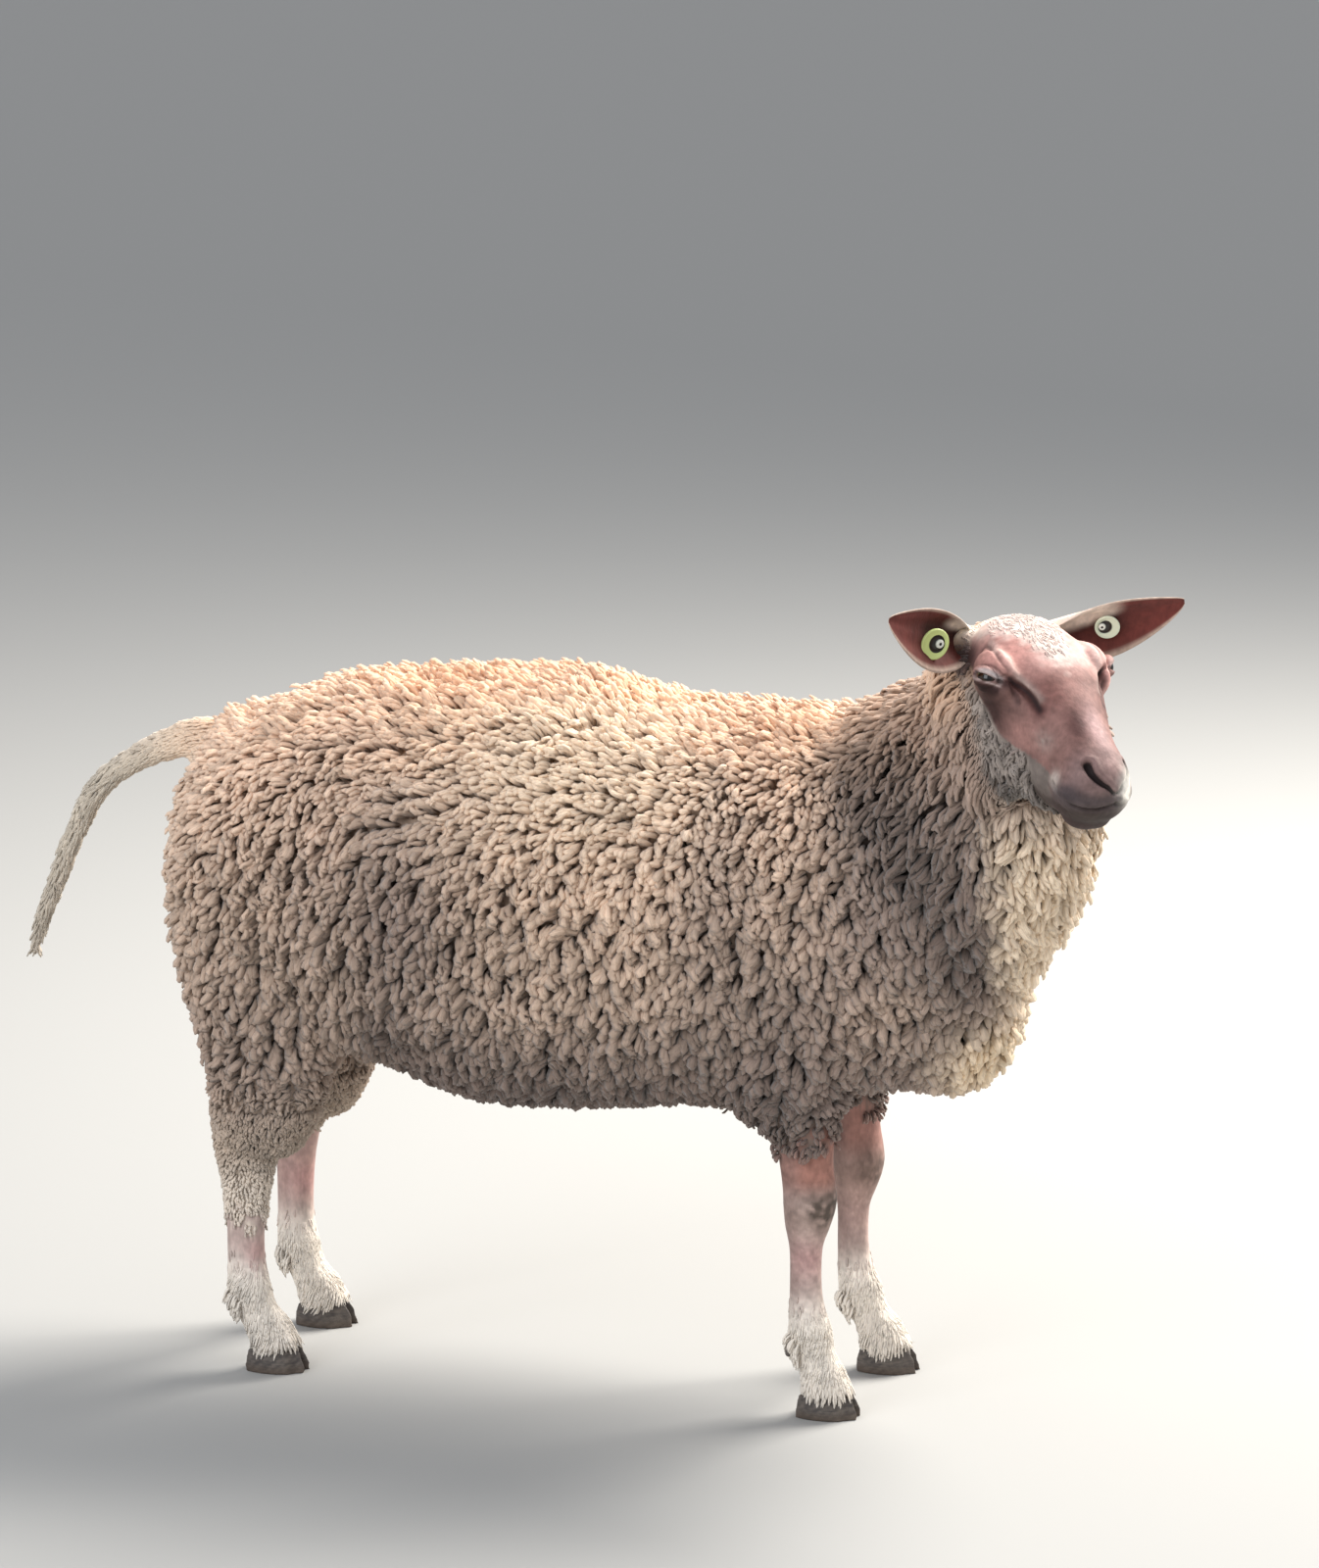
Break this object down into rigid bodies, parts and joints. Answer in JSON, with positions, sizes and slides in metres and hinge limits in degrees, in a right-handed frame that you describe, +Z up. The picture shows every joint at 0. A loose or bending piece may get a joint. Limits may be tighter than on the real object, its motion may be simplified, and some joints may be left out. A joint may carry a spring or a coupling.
{
  "type": "sheep",
  "caption": "Life-size standing ewe with a half-grown curly fleece, bare face and lower legs, head turned to its right, tail held out behind and a round tag in each ear.",
  "frame": {"origin": "on the floor, at the middle of the whole animal's box seen from above", "axes": "+X towards the chest, along the level back; +Y the ewe's own left; +Z up. The head is turned to the ewe's right, towards -Y"},
  "size_m": [1.2598, 0.4802, 0.8481],
  "materials": {
    "fleece": "dull curly wool, half grown",
    "bare_skin": "pink skin under short pale hair",
    "horn": "worn dark hoof horn, dull",
    "eye": "wet and glossy",
    "tag_plastic": "weathered pale yellow-green plastic"
  },
  "bodies": {
    "root": {"ear_left": "bare_skin", "ear_right": "bare_skin", "ear_tag_pin_left": "tag_plastic", "ear_tag_pin_right": "tag_plastic", "ear_tag_ring_left": "tag_plastic", "ear_tag_ring_right": "tag_plastic", "eye_left": "eye", "eye_right": "eye", "foreleg_left_claw_inner": "horn", "foreleg_left_claw_outer": "horn", "foreleg_left_dewclaw_inner": "horn", "foreleg_left_dewclaw_outer": "horn", "foreleg_left_pastern": "bare_skin", "foreleg_left_shank": "bare_skin", "foreleg_left_upper": "fleece", "foreleg_right_claw_inner": "horn", "foreleg_right_claw_outer": "horn", "foreleg_right_dewclaw_inner": "horn", "foreleg_right_dewclaw_outer": "horn", "foreleg_right_pastern": "bare_skin", "foreleg_right_shank": "bare_skin", "foreleg_right_upper": "fleece", "head": "bare_skin", "hind_leg_left_claw_inner": "horn", "hind_leg_left_claw_outer": "horn", "hind_leg_left_dewclaw_inner": "horn", "hind_leg_left_dewclaw_outer": "horn", "hind_leg_left_pastern": "bare_skin", "hind_leg_left_shank": "bare_skin", "hind_leg_left_upper": "fleece", "hind_leg_right_claw_inner": "horn", "hind_leg_right_claw_outer": "horn", "hind_leg_right_dewclaw_inner": "horn", "hind_leg_right_dewclaw_outer": "horn", "hind_leg_right_pastern": "bare_skin", "hind_leg_right_shank": "bare_skin", "hind_leg_right_upper": "fleece", "neck": "fleece", "tail_root": "fleece", "tail_tip": "fleece", "trunk": "fleece"}
  },
  "joints": []
}
